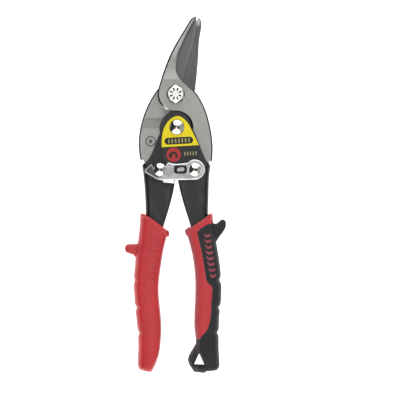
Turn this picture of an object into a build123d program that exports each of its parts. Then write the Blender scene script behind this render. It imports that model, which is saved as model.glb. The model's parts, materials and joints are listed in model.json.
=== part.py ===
from build123d import *
import os
from math import cos, radians, sin, sqrt

# Compound-action aviation snips, lying flat, closed and latched.
# +Z is up, through the thickness; +Y points to the blade tips; +X is to the right seen from above.
# The origin is the middle of the footprint, on the surface that the snips rest on. Millimetres.

# ---- driving dimensions ----
MID = 11.0              # height of the shear plane, where the two blades meet
JAW = 6.25              # thickness of each jaw above or below the shear plane
TAIL = 4.5              # how far a jaw's tail reaches past the shear plane
WEB = 2.3               # thickness of the thin blade beside the spine
RIM = 1.0               # bevel round the outside of a jaw
GROUND = 1.3            # bevel ground along a cutting edge
SHEET = 1.6             # handle sheet metal
INNER_HIGH = 4.65       # under side of the left handle's front plate, above the shear plane
OUTER_HIGH = 6.4        # under side of the right handle's front plate, above the shear plane
CHANNEL = SHEET + INNER_HIGH + OUTER_HIGH + SHEET
BEND = 3.4              # outside bend radius of the handle channels
GRIP = 22.0             # grip thickness
STOP_HIGH, STOP_LOW = 25.0, 14.8   # angles of a jaw's heel and of the channel top, about the rivet

MAIN = (0.0, 70.0)      # jaw to jaw pivot
CENTRE = (0.8, 46.8)    # handle to handle pivot
LEFT = (-11.0, 17.2)    # back jaw to left handle
RIGHT = (13.4, 17.2)    # front jaw to right handle
BADGE = (-1.4, 27.6)      # printed badge on the right handle

BOLT_R, BOLT_FIT = 4.0, 0.05
CENTRE_R, CENTRE_PLAY = 3.2, 0.40  # the centre rivet is loose in the right handle
RIVET_R, RIVET_FIT = 3.4, 0.05
NECK_R, HOOK_PLAY = 2.6, 0.40
LATCH_LOW, LATCH_T = 8.15, 1.3
SPRING_Y, SPRING_R, SPRING_WIRE = 33.5, 3.2, 0.5
SPRING_HALF, SPRING_POCKET_R = 13.6, 4.0
FRONT_LOBE = (0.0, 46.8)
FRONT_LOBE_R, BACK_LOBE_R = 10.9, 12.4   # round ends of the handles' outer plates
CENTRE_HEAD, RIVET_HEAD = 4.9, 4.3
DOME = 0.32             # rise of a rivet head as a share of its radius
DISH = 0.4              # depth of the dimple in a rivet head
HEAD_HIGH = 11.3        # top of the two rivets that hold the latch
BACK_HEAD = 4.5         # riveted-over ends on the back
CENTRE_BACK_HEAD = 4.6
BUSH_R, SPACER_R = 4.0, 5.6
WASHER_R, LATCH_WASHER_R = 6.3, 4.7
NUT_SEAT = JAW + 0.85   # under side of the pivot nut, above the shear plane
DECAL = 0.25            # printed films
THROUGH = 12.0          # half height of a hole that goes right through


def at(level):
    """Horizontal plane at a height above the shear plane."""
    return Plane.XY.offset(MID + level)


def polar(centre, radius, angle):
    """Point at an angle in degrees about a centre."""
    return (centre[0] + radius * cos(radians(angle)), centre[1] + radius * sin(radians(angle)))


def save(builder, name):
    """Label a finished piece and write it."""
    builder.part.label = name
    export_step(builder.part, f"parts/{name}.step")


def drum(centre, radius, low, high):
    """Upright cylinder between two heights, for the block it is called in."""
    with BuildSketch(at(low)) as disc:
        with Locations(centre):
            Circle(radius)
    extrude(disc.sketch, amount=high - low)


def bore(centre, radius, low, high):
    """Upright hole between two heights, for the block it is called in."""
    with BuildSketch(at(low)) as disc:
        with Locations(centre):
            Circle(radius)
    extrude(disc.sketch, amount=high - low, mode=Mode.SUBTRACT)


def domed_head(centre, radius, low, high, dimple):
    """Rivet head: flat under side at low, part of a sphere up to high, dished in the middle."""
    rise = DOME * radius
    ball = (radius**2 + rise**2) / (2 * rise)
    bowl = (dimple**2 + DISH**2) / (2 * DISH)

    def on_ball(reach):
        return (centre[0] + reach, MID + high - ball + sqrt(ball**2 - reach**2))

    dish_low = on_ball(dimple)[1] - DISH
    with BuildSketch(Plane.XZ.offset(-centre[1])) as profile:
        with BuildLine():
            Line((centre[0], MID + low), (centre[0] + radius, MID + low))
            Line((centre[0] + radius, MID + low), on_ball(radius))
            ThreePointArc(on_ball(radius), on_ball((radius + dimple) / 2), on_ball(dimple))
            ThreePointArc(
                on_ball(dimple),
                (centre[0] + dimple / 2, dish_low + bowl - sqrt(bowl**2 - dimple**2 / 4)),
                (centre[0], dish_low),
            )
            Line((centre[0], dish_low), (centre[0], MID + low))
        make_face()
    revolve(profile.sketch, axis=Axis((centre[0], centre[1], 0), (0, 0, 1)))


def edges_at(builder, places):
    """The edges of the part in hand whose middles are nearest to some (x, y, level) places."""
    spots = [Vector(x, y, MID + level) for x, y, level in places]
    return [builder.edges().sort_by(lambda edge: (edge @ 0.5 - spot).length)[0] for spot in spots]


os.makedirs("parts", exist_ok=True)

# ---- outlines of the front jaw ----
LOBE = 8.0              # radius of a jaw's tail round its rivet
front_heel_out = polar(RIGHT, 13.1, STOP_HIGH)
front_heel_in = polar(RIGHT, LOBE, STOP_HIGH)
back_heel_out = polar(LEFT, 15.0, 180 - STOP_HIGH)
back_heel_in = polar(LEFT, LOBE, 180 - STOP_HIGH)

# Spine, boss and tail: everything of the front jaw that has full thickness.
with BuildSketch() as front_body:
    with BuildLine():
        Spline((14.2, 124.5), (12.5, 124.0), (8.3, 119.0), (-1.7, 102.0), (-9.7, 82.0), (-12.2, 73.5))
        ThreePointArc((-12.2, 73.5), (-9.4, 61.6), (0.6, 57.4))
        ThreePointArc((0.6, 57.4), (8.3, 54.1), (11.3, 46.8))
        Spline((11.3, 46.8), (11.5, 36.0), (8.0, 26.0), (5.4, 17.2))
        ThreePointArc((5.4, 17.2), polar(RIGHT, LOBE, 285), front_heel_in)
        Line(front_heel_in, front_heel_out)
        Spline(front_heel_out, (25.8, 34.0), (24.0, 47.5), (20.3, 60.0), (14.3, 70.8))
        Line((14.3, 70.8), (6.3, 78.0))
        Spline((6.3, 78.0), (0.3, 85.5), (0.6, 94.0), (4.3, 104.0), (12.3, 119.5), (14.2, 124.5))
    make_face()

# Thin blade of the front jaw, out to its cutting edge.
with BuildSketch() as front_blade:
    with BuildLine():
        Spline((14.2, 124.5), (14.4, 119.0), (12.3, 106.0), (8.8, 93.0), (5.3, 83.0))
        Polyline((5.3, 83.0), (5.9, 80.7), (12.6, 75.2), (13.0, 72.0), (6.3, 78.0))
        Spline((6.3, 78.0), (0.3, 85.5), (0.6, 94.0), (4.3, 104.0), (12.3, 119.5), (14.2, 124.5))
    make_face()

# Tail of the front jaw below the shear plane.
with BuildSketch() as front_tail:
    with BuildLine():
        Polyline((30.0, 54.0), (30.0, 5.0), (2.0, 5.0), (2.0, 54.0), close=True)
    make_face()

# ---- outlines of the back jaw ----
with BuildSketch() as back_body:
    with BuildLine():
        Spline((16.2, 124.2), (17.5, 121.8), (17.0, 112.0), (15.6, 95.0), (13.8, 76.0), (13.3, 72.0))
        ThreePointArc((13.3, 72.0), (9.4, 61.2), (-0.6, 57.3))
        ThreePointArc((-0.6, 57.3), (-8.3, 54.0), (-11.0, 46.8))
        Spline((-11.0, 46.8), (-11.1, 42.0), (-10.8, 36.0), (-7.0, 26.0), (-3.0, 17.2))
        ThreePointArc((-3.0, 17.2), polar(LEFT, LOBE, 255), back_heel_in)
        Line(back_heel_in, back_heel_out)
        Spline(back_heel_out, (-25.8, 33.0), (-24.0, 50.0), (-20.2, 61.0), (-13.0, 73.3))
        Line((-13.0, 73.3), (-2.0, 78.5))
        Spline((-2.0, 78.5), (5.0, 86.0), (9.6, 100.0), (13.0, 113.0), (16.2, 124.2))
    make_face()

TEETH = 34
with BuildLine() as back_edge:
    Spline((15.3, 123.2), (11.6, 115.0), (7.6, 100.0), (1.5, 84.0), (-2.0, 78.5))

# The back blade's cutting edge carries fine teeth that hold the sheet.
teeth = []
for index in range(TEETH + 1):
    spot = back_edge.line @ (index / TEETH)
    across = (back_edge.line % (index / TEETH)).rotate(Axis.Z, -90)
    inset = 0.28 if index % 2 else 0.0
    teeth.append((spot.X - across.X * inset, spot.Y - across.Y * inset))

with BuildSketch() as back_blade:
    with BuildLine():
        Polyline(*teeth)
        Spline(teeth[-1], (5.0, 86.0), (9.6, 100.0), (13.0, 113.0), (16.2, 124.2))
        Line((16.2, 124.2), teeth[0])
    make_face()

with BuildSketch() as back_tail:
    with BuildLine():
        Polyline((-30.0, 54.0), (-30.0, 5.0), (0.0, 5.0), (0.0, 54.0), close=True)
    make_face()


def jaw_piece(builder, body, blade, tail, side, pin, rim, tail_rim):
    """One jaw, for the block it is called in. side is +1 for the front jaw and -1 for the back jaw."""
    with BuildSketch(at(0)) as body_plan:
        add(body.sketch)
    extrude(body_plan.sketch, amount=side * JAW)
    # The spine thins from this line to the tip.
    with BuildSketch(Plane.YZ.offset(-40)) as taper:
        with BuildLine():
            Polyline(
                (80.5, MID + side * JAW),
                (126.0, MID + side * 3.6),
                (126.0, MID + side * (JAW + 2)),
                (80.5, MID + side * (JAW + 2)),
                close=True,
            )
        make_face()
    extrude(taper.sketch, amount=80, mode=Mode.SUBTRACT)
    chamfer(edges_at(builder, [(x, y, side * level) for x, y, level in rim]), RIM)
    # The tail crosses the shear plane below a sloping shoulder.
    with BuildSketch(at(0)) as tail_plan:
        add(body.sketch)
        add(tail.sketch, mode=Mode.INTERSECT)
    extrude(tail_plan.sketch, amount=-side * TAIL)
    with BuildSketch(Plane.YZ.offset(-40)) as shoulder:
        with BuildLine():
            Polyline(
                (46.0, MID - side * TAIL),
                (53.5, MID),
                (60.0, MID),
                (60.0, MID - side * (TAIL + 2)),
                (46.0, MID - side * (TAIL + 2)),
                close=True,
            )
        make_face()
    extrude(shoulder.sketch, amount=80, mode=Mode.SUBTRACT)
    chamfer(edges_at(builder, [(x, y, -side * level) for x, y, level in tail_rim]), RIM)
    with BuildSketch(at(0)) as blade_plan:
        add(blade.sketch)
    extrude(blade_plan.sketch, amount=side * WEB)
    bore(MAIN, BOLT_R + BOLT_FIT, -JAW - 1, JAW + 1)
    bore(pin, RIVET_R + RIVET_FIT, -JAW - 1, JAW + 1)
    # Pocket that holds one end of the opening spring.
    with Locations(Plane((side * 11.0, SPRING_Y, MID), z_dir=(side, 0, 0))):
        Cylinder(SPRING_POCKET_R, 7.4, mode=Mode.SUBTRACT)


# Places on the outline edges that are bevelled: (x, y, distance from the shear plane).
FRONT_RIM = [
    (-9.9, 62.2, JAW), (8.1, 54.3, JAW), (-11.2, 77.0, JAW),
    (23.9, 47.8, JAW), (23.0, 21.7, JAW), (-0.5, 104.2, 4.9),
]
FRONT_TAIL_RIM = [(25.8, 34.4, TAIL), (23.0, 21.7, TAIL)]
BACK_RIM = [
    (9.7, 61.7, JAW), (-8.0, 54.3, JAW), (13.8, 76.3, JAW),
    (-24.1, 49.6, JAW), (-21.4, 22.1, JAW), (16.2, 102.6, 4.9),
]
BACK_TAIL_RIM = [(-25.8, 34.8, TAIL), (-24.1, 49.8, 2.2), (-18.9, 63.8, 0.0), (-21.4, 22.1, TAIL)]

with BuildPart() as upper_jaw:
    jaw_piece(upper_jaw, front_body, front_blade, front_tail, 1, RIGHT, FRONT_RIM, FRONT_TAIL_RIM)
    chamfer(edges_at(upper_jaw, [(11.7, 103.4, WEB)]), GROUND)
save(upper_jaw, "upper_jaw")

with BuildPart() as lower_jaw:
    jaw_piece(lower_jaw, back_body, back_blade, back_tail, -1, LEFT, BACK_RIM, BACK_TAIL_RIM)
save(lower_jaw, "lower_jaw")

# ---- main pivot ----
NUT_FLATS = 11.0
with BuildPart() as pivot_bolt:
    drum(MAIN, BOLT_R, -JAW - 0.1, JAW + 4.4)
    with BuildSketch(at(-MID)):
        with Locations(MAIN):
            RegularPolygon(NUT_FLATS / 2, 6, major_radius=False)
    extrude(amount=MID - JAW - 0.1)
    chamfer(pivot_bolt.edges().group_by(Axis.Z)[0], 0.7)
save(pivot_bolt, "pivot_bolt")

with BuildPart() as pivot_washer:
    drum(MAIN, WASHER_R, JAW + 0.05, NUT_SEAT)
    bore(MAIN, BOLT_R + 0.15, JAW, JAW + 1)
    chamfer(pivot_washer.faces().sort_by(Axis.Z)[-1].outer_wire().edges(), 0.25)
save(pivot_washer, "pivot_washer")

with BuildPart() as pivot_nut:
    with BuildSketch(at(NUT_SEAT)):
        with Locations(MAIN):
            RegularPolygon(NUT_FLATS / 2, 6, major_radius=False, rotation=30)
    extrude(amount=4.4)
    # Turned crown: the corners of the hexagon are cut back by a shallow cone.
    with BuildSketch(Plane.XZ.offset(-MAIN[1])):
        with BuildLine():
            Polyline((5.0, MID + 11.6), (8.0, MID + 11.6), (8.0, MID + 9.7), close=True)
        make_face()
    revolve(axis=Axis((*MAIN, 0), (0, 0, 1)), mode=Mode.SUBTRACT)
    drum(MAIN, 4.8, JAW + 5.0, JAW + 5.65)
    chamfer(pivot_nut.faces().sort_by(Axis.Z)[-1].edges(), 0.25)
    bore(MAIN, BOLT_R, JAW + 0.8, JAW + 4.4)
    # Eight radial key slots in the crown.
    with BuildSketch(at(JAW + 4.95)):
        with Locations(MAIN):
            with PolarLocations(3.3, 8, start_angle=22):
                SlotOverall(2.4, 1.0)
    extrude(amount=2, mode=Mode.SUBTRACT)
save(pivot_nut, "pivot_nut")

# ---- handles ----
channel_top_right = (polar(RIGHT, 8.6, STOP_LOW), polar(RIGHT, 11.35, STOP_LOW))
channel_top_left = (polar(LEFT, 9.4, 180 - STOP_LOW), polar(LEFT, 12.95, 180 - STOP_LOW))
RIGHT_SIDE = (channel_top_right[1], (23.2, 10.0), (22.9, 0.0), (22.5, -14.5), (25.0, -55.0), (24.8, -102.0))
LEFT_SIDE = (channel_top_left[1], (-22.2, 10.0), (-21.4, 0.0), (-20.9, -14.5), (-23.6, -55.0),
             (-22.4, -102.0))

with BuildSketch() as right_plan:
    with BuildLine():
        Spline(*RIGHT_SIDE)
        Line(RIGHT_SIDE[-1], (18.8, -102.0))
        Spline((18.8, -102.0), (18.2, -60.0), (14.2, -35.0), (6.6, -10.0), (1.8, 8.3))
        Spline((1.8, 8.3), (-2.5, 17.0), (-8.4, 24.5), (-10.3, 31.0), (-10.1, 41.0))
        Spline((-10.1, 41.0), (-6.6, 51.0), (1.4, 56.2), (8.4, 52.4), (10.9, 47.0))
        Spline((10.9, 47.0), (16.8, 34.0), (20.3, 25.5), (21.9, 22.6))
        Line((21.9, 22.6), channel_top_right[1])
    make_face()

with BuildSketch() as left_plan:
    with BuildLine():
        Spline(*LEFT_SIDE)
        Line(LEFT_SIDE[-1], (-16.4, -102.0))
        Spline((-16.4, -102.0), (-16.2, -60.0), (-12.4, -35.0), (-4.9, -10.0), (-0.7, 8.3))
        Spline((-0.7, 8.3), (3.6, 17.0), (9.4, 24.5), (11.3, 31.0), (11.1, 41.0))
        Spline((11.1, 41.0), (7.8, 51.2), (-0.7, 56.6), (-9.6, 51.6), (-10.7, 43.0))
        Spline((-10.7, 43.0), (-13.6, 36.5), (-17.7, 26.5), (-20.6, 22.4))
        Line((-20.6, 22.4), channel_top_left[1])
    make_face()

# Each handle's inner plate is cut back, to clear the tail of the jaw that isn't pinned to it.
with BuildSketch() as right_relief:
    with BuildLine():
        Spline((1.8, 8.3), (-0.6, 20.0), (-4.5, 32.0), (-8.6, 46.0))
        Polyline((-8.6, 46.0), (-30.0, 46.0), (-30.0, 8.3), (1.8, 8.3))
    make_face()

with BuildSketch() as left_relief:
    with BuildLine():
        Spline((-0.7, 8.3), (2.2, 20.0), (5.6, 32.0), (8.0, 44.0), (6.8, 58.0))
        Polyline((6.8, 58.0), (30.0, 58.0), (30.0, 8.3), (-0.7, 8.3))
    make_face()


def handle_piece(plan, side, low):
    """One stamped channel handle, for the block it is called in: two plates and an outer web."""
    top = channel_top_right if side > 0 else channel_top_left
    line = RIGHT_SIDE if side > 0 else LEFT_SIDE
    with BuildSketch(at(low)) as blank_plan:
        add(plan.sketch)
    blank = extrude(blank_plan.sketch, amount=CHANNEL)
    web_face = blank.faces().sort_by(Axis.X)[-1 if side > 0 else 0]
    fillet(web_face.edges().group_by(Axis.Z)[0] + web_face.edges().group_by(Axis.Z)[-1], BEND)
    with BuildSketch(at(low + SHEET)) as hollow:
        with BuildLine():
            inner = [(x - side * SHEET, y) for x, y in line[1:]]
            Spline(top[0], *inner)
            Polyline(
                inner[-1],
                (inner[-1][0], -110.0),
                (-side * 30.0, -110.0),
                (-side * 30.0, 65.0),
                (side * 30.0, 65.0),
                polar(RIGHT if side > 0 else LEFT, 18.0, STOP_LOW if side > 0 else 180 - STOP_LOW),
                top[0],
            )
        make_face()
    extrude(hollow.sketch, amount=CHANNEL - 2 * SHEET, mode=Mode.SUBTRACT)


with BuildPart() as right_handle:
    handle_piece(right_plan, 1, -INNER_HIGH - SHEET)
    with BuildSketch(at(-INNER_HIGH - SHEET)):
        add(right_relief.sketch)
    extrude(amount=SHEET, mode=Mode.SUBTRACT)
    drum(FRONT_LOBE, FRONT_LOBE_R, OUTER_HIGH, OUTER_HIGH + SHEET)
    bore(CENTRE, CENTRE_R + CENTRE_PLAY, -THROUGH, THROUGH)
    bore(RIGHT, RIVET_R, -THROUGH, THROUGH)
save(right_handle, "right_handle")

with BuildPart() as left_handle:
    handle_piece(left_plan, -1, -OUTER_HIGH - SHEET)
    with BuildSketch(at(INNER_HIGH)):
        add(left_relief.sketch)
    extrude(amount=SHEET, mode=Mode.SUBTRACT)
    drum(CENTRE, BACK_LOBE_R, -OUTER_HIGH - SHEET, -OUTER_HIGH)
    bore(CENTRE, CENTRE_R, -THROUGH, THROUGH)
    bore(LEFT, RIVET_R, -THROUGH, THROUGH)
save(left_handle, "left_handle")

# ---- rivets ----
with BuildPart() as centre_rivet:
    drum(CENTRE, CENTRE_R, -OUTER_HIGH - SHEET - 0.1, OUTER_HIGH + SHEET + 0.1)
    domed_head(CENTRE, CENTRE_HEAD, OUTER_HIGH + SHEET + 0.05, 11.0, 1.3)
    drum(CENTRE, CENTRE_BACK_HEAD, -9.6, -OUTER_HIGH - SHEET)
    chamfer(centre_rivet.edges().group_by(Axis.Z)[0], 0.7)
save(centre_rivet, "centre_rivet")

with BuildPart() as centre_spacer:
    drum(CENTRE, SPACER_R, -INNER_HIGH + 0.05, INNER_HIGH)
    bore(CENTRE, CENTRE_R + 0.05, -8, 8)
save(centre_spacer, "centre_spacer")

with BuildPart() as right_rivet:
    drum(RIGHT, RIVET_R, -INNER_HIGH - SHEET - 0.1, LATCH_LOW + LATCH_T + 0.5)
    domed_head(RIGHT, RIVET_HEAD, LATCH_LOW + LATCH_T + 0.4, HEAD_HIGH, 1.2)
    drum(RIGHT, BACK_HEAD, -INNER_HIGH - SHEET - 1.6, -INNER_HIGH - SHEET)
    chamfer(right_rivet.edges().group_by(Axis.Z)[0], 0.6)
save(right_rivet, "right_rivet")

with BuildPart() as left_rivet:
    drum(LEFT, RIVET_R, -OUTER_HIGH - SHEET - 0.1, INNER_HIGH + SHEET)
    drum(LEFT, NECK_R, INNER_HIGH + SHEET, LATCH_LOW + LATCH_T + 0.3)
    domed_head(LEFT, RIVET_HEAD, LATCH_LOW + LATCH_T + 0.2, HEAD_HIGH, 1.2)
    drum(LEFT, BACK_HEAD, -OUTER_HIGH - SHEET - 1.6, -OUTER_HIGH - SHEET)
    chamfer(left_rivet.edges().group_by(Axis.Z)[0], 0.6)
save(left_rivet, "left_rivet")

# Bush that lifts the hooked end of the latch clear of the left handle.
with BuildPart() as left_bush:
    drum(LEFT, BUSH_R, INNER_HIGH + SHEET + 0.02, OUTER_HIGH + SHEET)
    bore(LEFT, NECK_R + 0.02, 0, THROUGH)
save(left_bush, "left_bush")

with BuildPart() as latch_washer:
    drum(RIGHT, LATCH_WASHER_R, LATCH_LOW + LATCH_T + 0.05, LATCH_LOW + LATCH_T + 0.35)
    bore(RIGHT, RIVET_R + 0.05, 0, THROUGH)
save(latch_washer, "latch_washer")

# ---- latch ----
HOOK_R = NECK_R + HOOK_PLAY
HOOK_LEAN = 29.0        # the hook's outer wall leans out by this much, so that it swings off the neck
hook_start = polar(LEFT, HOOK_R, 180 + HOOK_LEAN)
hook_end = polar(LEFT, HOOK_R, -8)
LATCH_RIM = 7.0
with BuildSketch() as latch_plan:
    with BuildLine():
        ThreePointArc(polar(RIGHT, LATCH_RIM, 138), polar(RIGHT, LATCH_RIM, 10), polar(RIGHT, LATCH_RIM, 270))
        Polyline(polar(RIGHT, LATCH_RIM, 270), (-0.2, 9.9), (-9.0, 9.6), (-13.9, 10.6))
        Spline((-13.9, 10.6), (-17.4, 12.9), (-20.9, 14.9))
        ThreePointArc((-20.9, 14.9), (-21.7, 16.2), (-21.2, 17.5))
        Spline((-21.2, 17.5), (-18.9, 19.6), (-16.9, 21.4))
        Line((-16.9, 21.4), hook_start)
        ThreePointArc(hook_start, polar(LEFT, HOOK_R, 270), hook_end)
        Spline(hook_end, (-7.2, 19.6), (-5.0, 22.3))
        Spline((-5.0, 22.3), (-1.5, 21.3), (4.3, 21.4), polar(RIGHT, LATCH_RIM, 138))
    make_face()

# Face of the latch inside its raised border.
LATCH_BORDER, LATCH_DISH, LATCH_POCKET = 0.9, 0.35, 0.8
FACE_R, FACE_HOOK_R = LATCH_RIM - LATCH_BORDER, HOOK_R + LATCH_BORDER
with BuildSketch() as latch_face:
    with BuildLine():
        ThreePointArc(polar(RIGHT, FACE_R, 140), polar(RIGHT, FACE_R, 10), polar(RIGHT, FACE_R, 270))
        Polyline(polar(RIGHT, FACE_R, 270), (-0.3, 10.8), (-8.9, 10.5), (-13.5, 11.5))
        Spline((-13.5, 11.5), (-16.9, 13.7), (-20.2, 15.6))
        Line((-20.2, 15.6), (-20.4, 17.0))
        Spline((-20.4, 17.0), (-18.5, 18.8), (-17.1, 20.0))
        Line((-17.1, 20.0), polar(LEFT, FACE_HOOK_R, 180 + HOOK_LEAN))
        ThreePointArc(
            polar(LEFT, FACE_HOOK_R, 180 + HOOK_LEAN),
            polar(LEFT, FACE_HOOK_R, 270),
            polar(LEFT, FACE_HOOK_R, -4),
        )
        Spline(polar(LEFT, FACE_HOOK_R, -4), (-6.4, 19.3), (-4.7, 21.2))
        Spline((-4.7, 21.2), (-1.5, 20.4), (4.3, 20.5), polar(RIGHT, FACE_R, 140))
    make_face()

with BuildPart() as latch:
    with BuildSketch(at(LATCH_LOW)):
        add(latch_plan.sketch)
    extrude(amount=LATCH_T)
    top_edges = latch.faces().sort_by(Axis.Z)[-1].outer_wire().edges()
    fillet(top_edges, 0.35)
    # The face is dished inside a raised border.
    with BuildSketch(at(LATCH_LOW + LATCH_T - LATCH_DISH)):
        add(latch_face.sketch)
    extrude(amount=1, mode=Mode.SUBTRACT)
    bore(RIGHT, RIVET_R + RIVET_FIT, 0, THROUGH)
    # Pressed pocket in the middle of the latch, with a raised bead inside it.
    with BuildSketch(at(LATCH_LOW + LATCH_T - LATCH_POCKET)):
        with Locations((3.3, 17.3)):
            RectangleRounded(9.0, 5.8, 1.8)
    extrude(amount=1, mode=Mode.SUBTRACT)
    with BuildSketch(at(LATCH_LOW)):
        with Locations((3.5, 17.3)):
            SlotOverall(5.2, 2.8, rotation=8)
    extrude(amount=LATCH_T - LATCH_DISH)
    # Thumb lip turned up from the lower edge.
    with BuildSketch(at(LATCH_LOW)):
        with Locations(Location((-4.7, 8.9), -6)):
            RectangleRounded(8.8, 2.0, 0.9)
    extrude(amount=2.6)
    fillet(latch.faces().sort_by(Axis.Z)[-1].edges(), 0.5)
save(latch, "latch")

# ---- opening spring ----
TURNS = 9
with BuildPart() as opening_spring:
    with BuildLine() as coil:
        Helix(
            pitch=2 * SPRING_HALF / TURNS,
            height=2 * SPRING_HALF,
            radius=SPRING_R,
            center=(-SPRING_HALF, SPRING_Y, MID),
            direction=(1, 0, 0),
        )
    with BuildSketch(Plane(coil.line @ 0, z_dir=coil.line % 0)):
        Circle(SPRING_WIRE)
    sweep(is_frenet=True)
save(opening_spring, "opening_spring")

# ---- printed label and badge ----
with BuildPart() as label:
    with BuildSketch(at(OUTER_HIGH + SHEET)):
        with BuildLine():
            Spline((-9.7, 32.8), (-9.4, 41.0), (-5.3, 50.8), (1.5, 54.6), (7.8, 50.6), (10.2, 46.6))
            Spline((10.2, 46.6), (13.2, 40.6), (16.2, 34.3))
            Line((16.2, 34.3), (-9.7, 32.8))
        make_face()
        with Locations(CENTRE):
            Circle(CENTRE_HEAD + 0.3, mode=Mode.SUBTRACT)
    extrude(amount=DECAL)
save(label, "label")

with BuildPart() as badge:
    drum(BADGE, 5.0, OUTER_HIGH + SHEET, OUTER_HIGH + SHEET + DECAL)
save(badge, "badge")

# ---- grips ----
GRIP_ROUND = 3.0
LUG_T = 14.0


def grip_blank(outline):
    """Solid of one grip: its outline through the whole thickness, with rounded long edges."""
    with BuildPart() as blank:
        with BuildSketch(at(-GRIP / 2)):
            add(outline.sketch)
        extrude(amount=GRIP)
        long_edges = blank.edges().filter_by(lambda edge: edge.length > 60)
        fillet(long_edges.group_by(Axis.Z)[0] + long_edges.group_by(Axis.Z)[-1], GRIP_ROUND)
    return blank


with BuildSketch() as left_grip_plan:
    with BuildLine():
        Spline((-24.9, -13.6), (-19.7, -15.3), (-14.7, -19.3), (-9.7, -22.6), (-4.7, -25.6))
        Polyline((-4.7, -25.6), (-4.8, -29.0), (-7.0, -29.4))
        Spline((-7.0, -29.4), (-10.0, -45.0), (-12.3, -65.0), (-10.6, -93.0), (-12.5, -114.0),
               (-16.9, -124.2))
        Spline((-16.9, -124.2), (-22.7, -124.5), (-26.4, -120.5))
        Spline((-26.4, -120.5), (-26.0, -106.0), (-28.2, -80.0), (-28.9, -58.0), (-28.0, -43.5))
        Line((-28.0, -43.5), (-26.2, -34.0))
        Spline((-26.2, -34.0), (-25.0, -26.0), (-24.9, -13.6))
    make_face()

left_blank = grip_blank(left_grip_plan)
with BuildPart() as left_grip:
    add(left_blank.part)
    with BuildSketch(at(-LUG_T / 2)):
        with BuildLine():
            Line((-24.0, -34.6), (-33.6, -35.0))
            ThreePointArc((-33.6, -35.0), (-35.5, -38.0), (-34.0, -40.6))
            Line((-34.0, -40.6), (-24.0, -44.6))
            Line((-24.0, -44.6), (-24.0, -34.6))
        make_face()
    extrude(amount=LUG_T)
    with BuildSketch(at(-OUTER_HIGH - SHEET)):
        add(left_plan.sketch)
    extrude(amount=CHANNEL, mode=Mode.SUBTRACT)
save(left_grip, "left_grip")

with BuildSketch() as right_grip_plan:
    with BuildLine():
        Spline((25.3, -13.4), (20.3, -17.5), (15.3, -21.5), (9.8, -23.9), (6.5, -25.6))
        Polyline((6.5, -25.6), (7.1, -28.4), (9.1, -29.4))
        Spline((9.1, -29.4), (12.3, -45.0), (14.0, -65.0), (13.2, -90.0), (14.4, -104.5), (8.7, -115.8))
        Spline((8.7, -115.8), (9.3, -119.5), (12.6, -123.8))
        Spline((12.6, -123.8), (20.3, -124.7), (29.4, -122.6))
        Spline((29.4, -122.6), (30.3, -117.0), (29.8, -97.0), (31.6, -68.0), (30.3, -46.0), (28.1, -32.8))
        Spline((28.1, -32.8), (26.9, -24.0), (25.3, -13.4))
    make_face()

with BuildSketch() as red_region:
    with BuildLine():
        Polyline((5.0, -10.0), (30.0, -10.0), (30.0, -19.6), (25.4, -19.6))
        Spline((25.4, -19.6), (16.8, -25.5), (18.5, -41.0), (21.3, -59.0), (24.4, -82.0), (16.6, -100.2))
        Polyline((16.6, -100.2), (5.0, -101.5), (5.0, -10.0))
    make_face()

right_blank = grip_blank(right_grip_plan)
with BuildPart() as right_grip_core:
    add(right_blank.part)
    with BuildSketch(at(-GRIP)):
        add(red_region.sketch)
    extrude(amount=2 * GRIP, mode=Mode.INTERSECT)
    with BuildSketch(at(-INNER_HIGH - SHEET)):
        add(right_plan.sketch)
    extrude(amount=CHANNEL, mode=Mode.SUBTRACT)
save(right_grip_core, "right_grip_core")

with BuildPart() as right_grip_cover:
    add(right_blank.part)
    with BuildSketch(at(-LUG_T / 2)):
        with BuildLine():
            Line((24.5, -33.0), (27.5, -33.0))
            Spline((27.5, -33.0), (31.2, -29.0), (34.6, -23.5))
            ThreePointArc((34.6, -23.5), (35.0, -19.5), (33.3, -17.7))
            Spline((33.3, -17.7), (29.3, -20.2), (24.5, -20.6))
            Line((24.5, -20.6), (24.5, -33.0))
        make_face()
    extrude(amount=LUG_T)
    with BuildSketch(at(-GRIP)):
        add(red_region.sketch)
    extrude(amount=2 * GRIP, mode=Mode.SUBTRACT)
    with BuildSketch(at(-INNER_HIGH - SHEET)):
        add(right_plan.sketch)
    extrude(amount=CHANNEL, mode=Mode.SUBTRACT)
    # Opening for hanging the tool up.
    with BuildSketch(at(-GRIP)):
        with BuildLine():
            Polyline((16.5, -110.6), (12.1, -119.4), (20.6, -119.9), close=True)
        make_face()
        fillet(vertices(), 1.0)
    extrude(amount=2 * GRIP, mode=Mode.SUBTRACT)
save(right_grip_cover, "right_grip_cover")
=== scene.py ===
import json
import math

import bmesh
import bpy
import numpy as np
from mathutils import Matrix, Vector
from mathutils.bvhtree import BVHTree


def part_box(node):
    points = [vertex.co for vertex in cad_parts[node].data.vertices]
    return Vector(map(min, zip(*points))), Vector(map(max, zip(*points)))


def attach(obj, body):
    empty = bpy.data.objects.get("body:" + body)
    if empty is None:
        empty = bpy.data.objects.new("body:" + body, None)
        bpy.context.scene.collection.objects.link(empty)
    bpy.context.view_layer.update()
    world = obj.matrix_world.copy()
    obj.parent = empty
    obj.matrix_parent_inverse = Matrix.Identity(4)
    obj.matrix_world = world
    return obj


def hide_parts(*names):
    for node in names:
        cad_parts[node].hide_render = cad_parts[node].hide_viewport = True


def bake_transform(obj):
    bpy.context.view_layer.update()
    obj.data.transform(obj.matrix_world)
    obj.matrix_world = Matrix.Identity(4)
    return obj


# Aviation snips: the looks. Everything is in metres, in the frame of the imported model.
# Outlines are written in millimetres and scaled by MM.

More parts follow.
